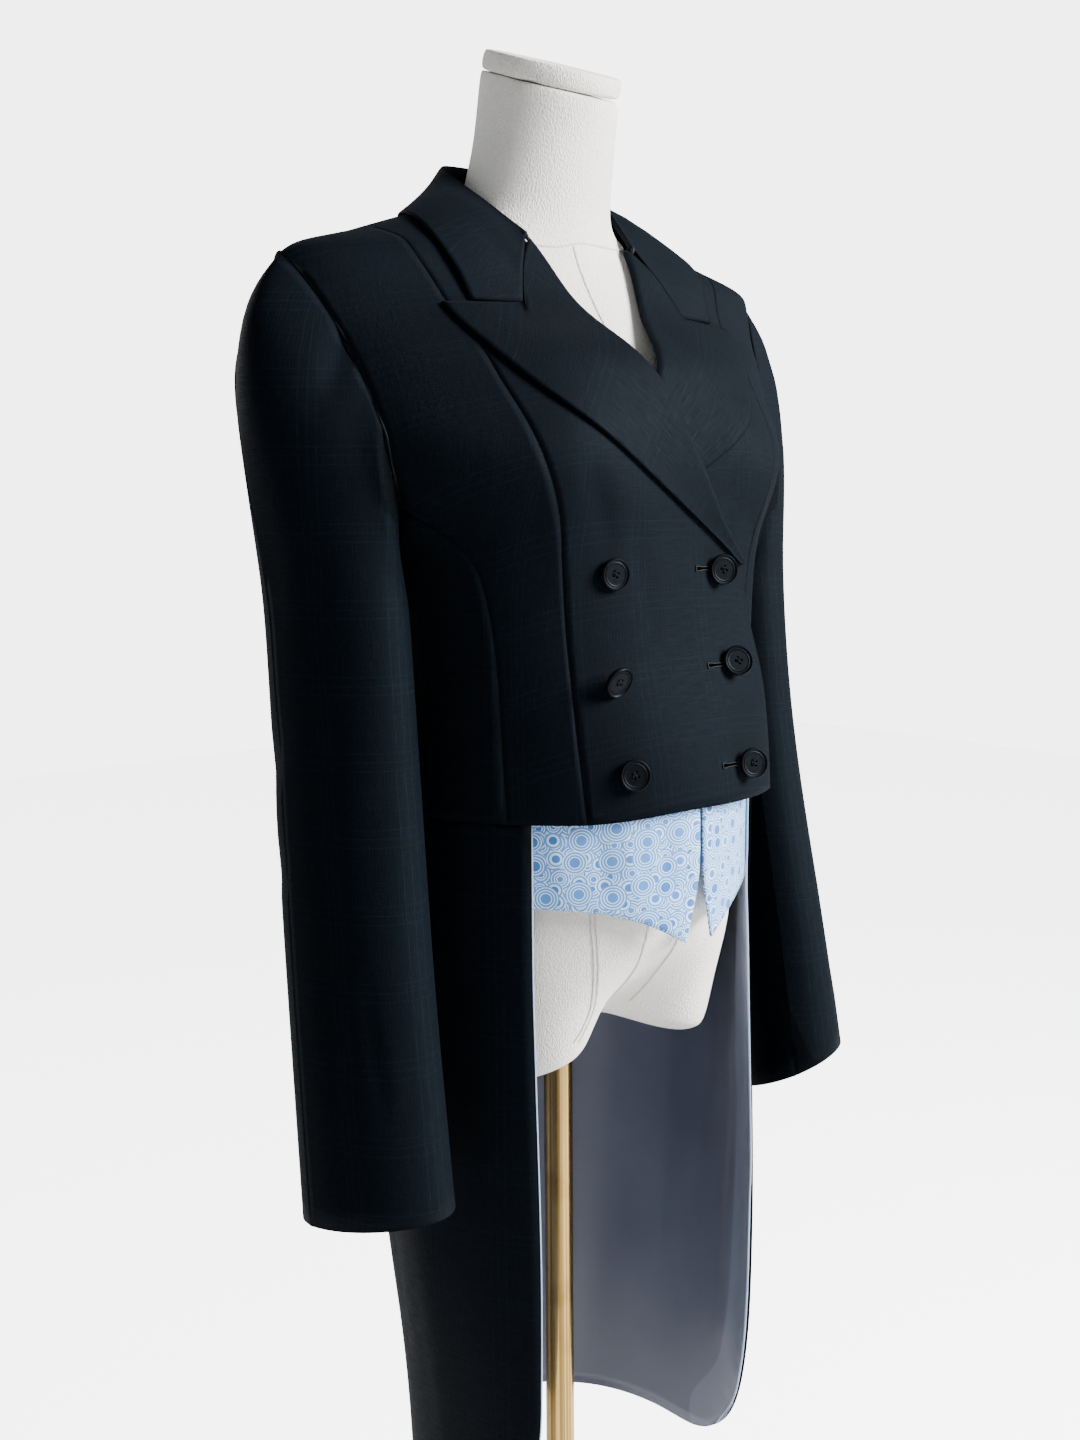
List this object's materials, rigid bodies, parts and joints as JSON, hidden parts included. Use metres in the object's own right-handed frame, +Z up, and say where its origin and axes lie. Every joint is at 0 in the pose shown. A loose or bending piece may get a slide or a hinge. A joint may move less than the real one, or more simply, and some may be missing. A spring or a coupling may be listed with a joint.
{
  "type": "dressage tailcoat on a limbless dress form and stand",
  "caption": "Double-breasted dressage tailcoat with peaked lapels, satin vest points and lined tails, on a limbless dress form with a pole stand.",
  "frame": {"origin": "centre of the underside of the stand's base, on the floor", "axes": "+Z up, the coat's front faces -Y, the wearer's left is +X"},
  "size_m": [0.482, 0.3125, 1.5156],
  "materials": {
    "wool": "fine worsted with a faint sheen",
    "vest_satin": "printed satin",
    "lining_satin": "plain satin",
    "button": "semi-gloss",
    "jersey": "matt knit",
    "brass": "polished"
  },
  "bodies": {
    "root": {"front_left": "wool", "front_right": "wool", "side_front_left": "wool", "side_front_right": "wool", "side_body_left": "wool", "side_body_right": "wool", "back_left": "wool", "back_right": "wool", "tail_skirt_left": "wool", "tail_skirt_right": "wool", "lapel_left": "wool", "lapel_right": "wool", "sleeve_top_left": "wool", "sleeve_top_right": "wool", "sleeve_under_left": "wool", "sleeve_under_right": "wool", "tail_lining_left": "lining_satin", "tail_lining_right": "lining_satin", "vest_point_left": "vest_satin", "vest_point_right": "vest_satin", "button_left_1": "button", "button_left_2": "button", "button_left_3": "button", "button_right_1": "button", "button_right_2": "button", "button_right_3": "button", "collar": "wool", "form_torso": "jersey", "form_neck_cap": "jersey", "stand_base": "brass", "stand_pole": "brass"}
  },
  "joints": []
}
